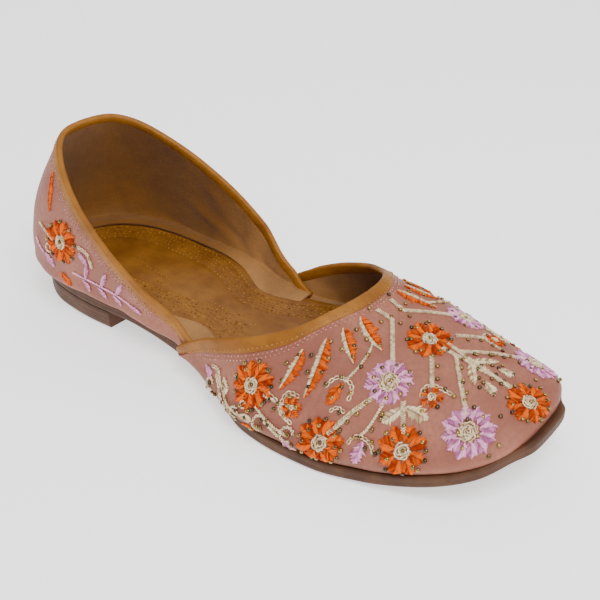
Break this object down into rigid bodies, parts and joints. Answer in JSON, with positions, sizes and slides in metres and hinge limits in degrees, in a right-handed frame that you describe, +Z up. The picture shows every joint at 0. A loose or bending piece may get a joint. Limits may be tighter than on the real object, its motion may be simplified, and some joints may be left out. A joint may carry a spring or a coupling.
{
  "type": "embroidered flat shoe",
  "caption": "Slip-on flat leather shoe with a low heel, closed embroidered vamp, low-cut sides, tan bound edges and a padded insole.",
  "frame": {"origin": "bottom centre of the bounding box, on the ground under the waist", "axes": "+Y towards the toe, +Z up, +X to the wearer's right"},
  "size_m": [0.093, 0.2558, 0.0732],
  "materials": {
    "sole_leather": "smooth burnished edge",
    "heel_leather": "smooth stacked",
    "insole_leather": "soft stitched",
    "upper_leather": "matte with thread embroidery",
    "binding_leather": "smooth folded strip",
    "lining_leather": "soft suede side",
    "thread": "satin stitch thread",
    "beads": "small glass and metal beads"
  },
  "bodies": {
    "root": {"outsole": "sole_leather", "heel": "heel_leather", "insole": "insole_leather", "vamp": "upper_leather", "quarter": "upper_leather", "vamp_binding": "binding_leather", "collar_binding": "binding_leather"}
  },
  "joints": []
}
